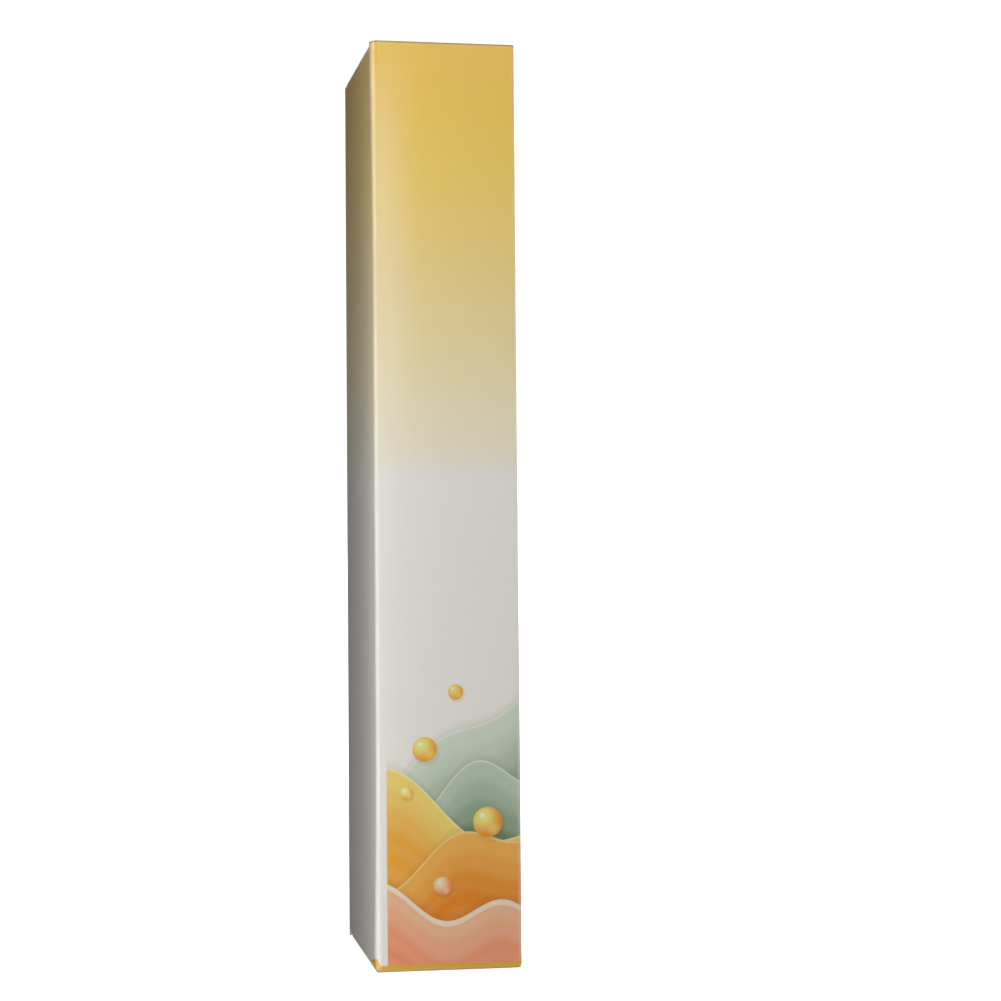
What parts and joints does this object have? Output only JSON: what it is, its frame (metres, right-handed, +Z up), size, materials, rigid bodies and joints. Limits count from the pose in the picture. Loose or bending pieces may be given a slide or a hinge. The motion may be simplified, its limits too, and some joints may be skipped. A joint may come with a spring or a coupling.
{
  "type": "boxed nail oil pen",
  "caption": "Slim upright folding carton with a reverse-tuck closure at each end, holding a twist-up nail oil pen with a pull-off cap, a brush tip and a screw-driven piston.",
  "frame": {"origin": "centre of the base, on the surface that the carton stands on", "axes": "+Z up along the carton, front panel towards -Y, +X to the right as seen from the front"},
  "size_m": [0.0226, 0.0226, 0.14],
  "materials": {
    "printed_board": "gloss",
    "board_flap": "gloss",
    "glue": "matte",
    "clear_plastic": "gloss",
    "white_plastic": "gloss",
    "natural_plastic": "satin",
    "amber_plastic": "gloss",
    "label_film": "gloss",
    "soft_seal": "matte",
    "bristle": "satin",
    "oil": "gloss",
    "spring_steel": "satin",
    "trim_metal": "polished"
  },
  "bodies": {
    "carton": {"carton_sleeve": "printed_board", "seam_glue": "glue"},
    "top_lid": {"top_lid": "board_flap"},
    "top_tuck": {"top_tuck": "board_flap"},
    "top_dust_left": {"top_dust_left": "board_flap"},
    "top_dust_right": {"top_dust_right": "board_flap"},
    "bottom_lid": {"bottom_lid": "board_flap"},
    "bottom_tuck": {"bottom_tuck": "board_flap"},
    "bottom_dust_left": {"bottom_dust_left": "board_flap"},
    "bottom_dust_right": {"bottom_dust_right": "board_flap"},
    "pen": {"pen_barrel": "clear_plastic", "barrel_label": "label_film", "brush_nib": "white_plastic", "nib_seal": "soft_seal", "feed_tube": "natural_plastic", "brush_bristles": "bristle", "oil_charge": "oil", "drive_nut": "natural_plastic", "ratchet_ring": "natural_plastic"},
    "cap": {"pen_cap": "clear_plastic", "cap_liner": "soft_seal"},
    "knob": {"twist_knob": "amber_plastic", "knob_band": "trim_metal", "knob_plug": "white_plastic", "drive_tube": "natural_plastic", "click_ring": "natural_plastic", "click_spring": "spring_steel"},
    "rod": {"piston_rod": "white_plastic"},
    "piston": {"piston": "soft_seal"}
  },
  "joints": [
    {"name": "top_lid_open", "type": "hinge", "parent": "carton", "child": "top_lid", "pos_m": [0, 0.01125, 0.14], "axis": [-1, 0, 0], "range_deg": [0, 120]},
    {"name": "top_tuck_fold", "type": "hinge", "parent": "top_lid", "child": "top_tuck", "pos_m": [0, -0.00945, 0.13955], "axis": [1, 0, 0], "range_deg": [0, 48]},
    {"name": "top_dust_left_swing", "type": "hinge", "parent": "carton", "child": "top_dust_left", "pos_m": [-0.01125, 0, 0.13949], "axis": [0, -1, 0], "range_deg": [0, 72]},
    {"name": "top_dust_right_swing", "type": "hinge", "parent": "carton", "child": "top_dust_right", "pos_m": [0.01125, 0, 0.13949], "axis": [0, 1, 0], "range_deg": [0, 72]},
    {"name": "bottom_lid_open", "type": "hinge", "parent": "carton", "child": "bottom_lid", "pos_m": [0, -0.01125, 0], "axis": [-1, 0, 0], "range_deg": [0, 120]},
    {"name": "bottom_tuck_fold", "type": "hinge", "parent": "bottom_lid", "child": "bottom_tuck", "pos_m": [0, 0.00945, 0.00045], "axis": [1, 0, 0], "range_deg": [0, 48]},
    {"name": "bottom_dust_left_swing", "type": "hinge", "parent": "carton", "child": "bottom_dust_left", "pos_m": [-0.01125, 0, 0.00051], "axis": [0, 1, 0], "range_deg": [0, 72]},
    {"name": "bottom_dust_right_swing", "type": "hinge", "parent": "carton", "child": "bottom_dust_right", "pos_m": [0.01125, 0, 0.00051], "axis": [0, -1, 0], "range_deg": [0, 72]},
    {"name": "pen_slide", "type": "slide", "parent": "carton", "child": "pen", "axis": [0, 0, 1], "range_m": [0, 0.01]},
    {"name": "cap_pull", "type": "slide", "parent": "pen", "child": "cap", "axis": [0, 0, 1], "range_m": [0, 0.01]},
    {"name": "knob_turn", "type": "hinge", "parent": "pen", "child": "knob", "pos_m": [0, 0, 0.01466], "axis": [0, 0, 1], "range_deg": [0, 4320]},
    {"name": "rod_advance", "type": "slide", "parent": "knob", "child": "rod", "axis": [0, 0, 1], "range_m": [0, 0.036]},
    {"name": "piston_advance", "type": "slide", "parent": "pen", "child": "piston", "axis": [0, 0, 1], "range_m": [0, 0.036], "deforming": ["oil_charge"]}
  ],
  "couplings": [
    {"joint": "top_tuck_fold", "follows": "top_lid_open", "ratio": 0.4},
    {"joint": "top_dust_left_swing", "follows": "top_lid_open", "ratio": 0.6},
    {"joint": "top_dust_right_swing", "follows": "top_lid_open", "ratio": 0.6},
    {"joint": "bottom_tuck_fold", "follows": "bottom_lid_open", "ratio": 0.4},
    {"joint": "bottom_dust_left_swing", "follows": "bottom_lid_open", "ratio": 0.6},
    {"joint": "bottom_dust_right_swing", "follows": "bottom_lid_open", "ratio": 0.6},
    {"joint": "rod_advance", "follows": "knob_turn", "m_per_rad": 0.00047746},
    {"joint": "piston_advance", "follows": "knob_turn", "m_per_rad": 0.00047746}
  ]
}
